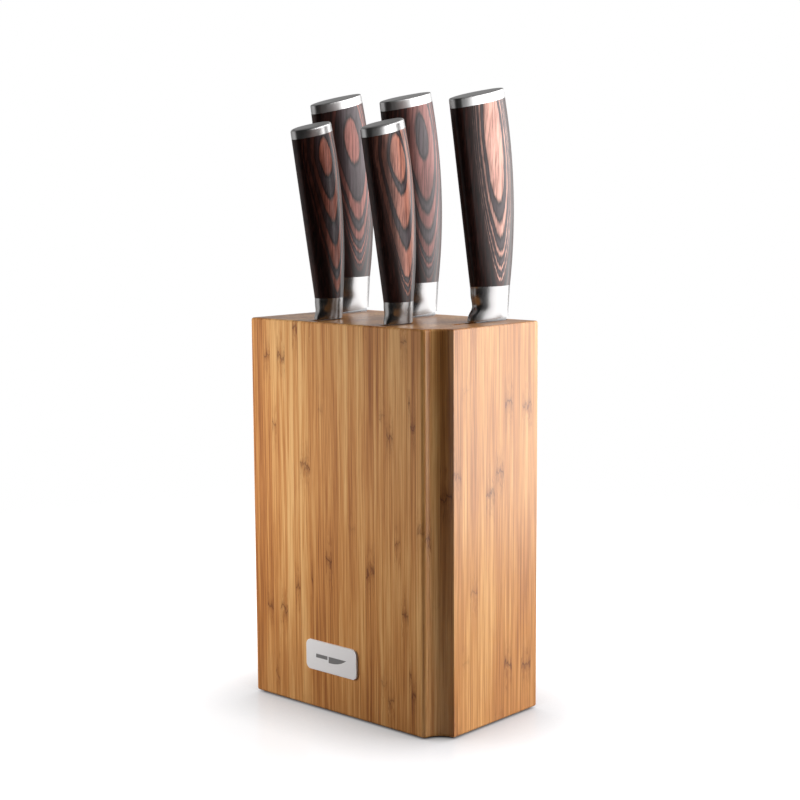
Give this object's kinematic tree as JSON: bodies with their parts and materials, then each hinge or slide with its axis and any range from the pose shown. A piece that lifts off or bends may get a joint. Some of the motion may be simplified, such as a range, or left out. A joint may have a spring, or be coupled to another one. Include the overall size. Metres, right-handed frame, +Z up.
{
  "type": "knife block with knives",
  "caption": "Upright laminated bamboo block with a hollowed corner, holding kitchen knives with layered wood handles, polished bolsters and steel end caps.",
  "frame": {"origin": "centre of the block's footprint, on the face that the block stands on", "axes": "+Z up, +X along the wide face towards the hollowed corner's end, +Y from the wide face with the badge towards the back"},
  "size_m": [0.146, 0.0943, 0.3567],
  "materials": {
    "bamboo": "oiled satin bamboo, upright strips with fine fibre streaks and scattered node marks",
    "pad": "thin dark anti-slip foam rubber",
    "badge": "satin plate, finely brushed along its length",
    "blade_steel": "stainless blade with a fine satin grind across the blade",
    "polished_steel": "polished stainless steel",
    "cap_steel": "polished band with a finely brushed top",
    "laminated_wood": "glossy resin-laminated veneers in red-brown, pink-brown and grey"
  },
  "bodies": {
    "root": {"base_pad": "pad", "badge_plate": "badge", "left_end_board": "bamboo", "left_board": "bamboo", "left_middle_board": "bamboo", "right_middle_board": "bamboo", "right_board": "bamboo", "right_end_board": "bamboo", "bread_slot_front_strip": "bamboo", "bread_slot_rear_strip": "bamboo", "bread_slot_floor": "bamboo", "paring_slot_front_strip": "bamboo", "paring_slot_rear_strip": "bamboo", "paring_slot_floor": "bamboo", "carving_slot_front_strip": "bamboo", "carving_slot_rear_strip": "bamboo", "carving_slot_floor": "bamboo", "utility_slot_front_strip": "bamboo", "utility_slot_rear_strip": "bamboo", "utility_slot_floor": "bamboo", "chefs_slot_front_strip": "bamboo", "chefs_slot_rear_strip": "bamboo", "chefs_slot_floor": "bamboo"},
    "bread_knife": {"bread_blade": "blade_steel", "bread_bolster": "polished_steel", "bread_handle": "laminated_wood", "bread_end_cap": "cap_steel"},
    "paring_knife": {"paring_blade": "blade_steel", "paring_bolster": "polished_steel", "paring_handle": "laminated_wood", "paring_end_cap": "cap_steel"},
    "carving_knife": {"carving_blade": "blade_steel", "carving_bolster": "polished_steel", "carving_handle": "laminated_wood", "carving_end_cap": "cap_steel"},
    "utility_knife": {"utility_blade": "blade_steel", "utility_bolster": "polished_steel", "utility_handle": "laminated_wood", "utility_end_cap": "cap_steel"},
    "chefs_knife": {"chefs_blade": "blade_steel", "chefs_bolster": "polished_steel", "chefs_handle": "laminated_wood", "chefs_end_cap": "cap_steel"}
  },
  "joints": [
    {"name": "bread_knife_lift", "type": "slide", "parent": "root", "child": "bread_knife", "axis": [0, 0, 1], "range_m": [0, 0.206]},
    {"name": "paring_knife_lift", "type": "slide", "parent": "root", "child": "paring_knife", "axis": [0, 0, 1], "range_m": [0, 0.098]},
    {"name": "carving_knife_lift", "type": "slide", "parent": "root", "child": "carving_knife", "axis": [0, 0, 1], "range_m": [0, 0.206]},
    {"name": "utility_knife_lift", "type": "slide", "parent": "root", "child": "utility_knife", "axis": [0, 0, 1], "range_m": [0, 0.136]},
    {"name": "chefs_knife_lift", "type": "slide", "parent": "root", "child": "chefs_knife", "axis": [0, 0, 1], "range_m": [0, 0.206]}
  ]
}
